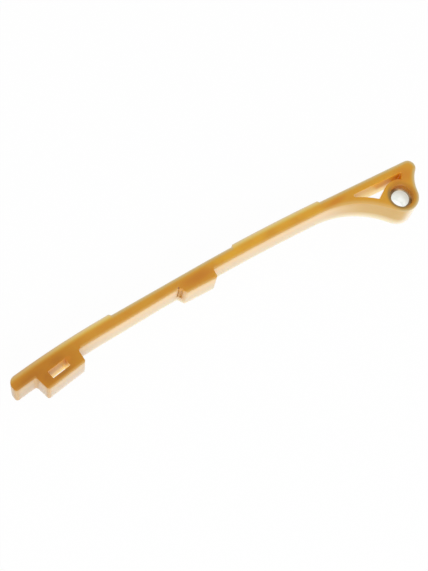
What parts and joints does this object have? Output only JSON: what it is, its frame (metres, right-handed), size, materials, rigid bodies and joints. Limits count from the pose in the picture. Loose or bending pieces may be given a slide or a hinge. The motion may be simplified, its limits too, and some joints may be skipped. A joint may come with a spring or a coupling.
{
  "type": "chain guide",
  "caption": "Curved moulded rail that guides an engine's timing chain, with a steel-sleeved pivot bore in a windowed head, lips along the running face and a slotted foot at the tip.",
  "frame": {"origin": "centre of the pivot bore at the lower side face", "axes": "+X from the tip to the pivot end, +Y towards the chain, +Z along the bore and up through the rail's width"},
  "size_m": [0.2103, 0.0234, 0.014],
  "materials": {
    "nylon": "satin natural nylon, slightly translucent",
    "sleeve_steel": "fine turned"
  },
  "bodies": {
    "root": {"guide_rail": "nylon", "pivot_sleeve": "sleeve_steel"}
  },
  "joints": []
}
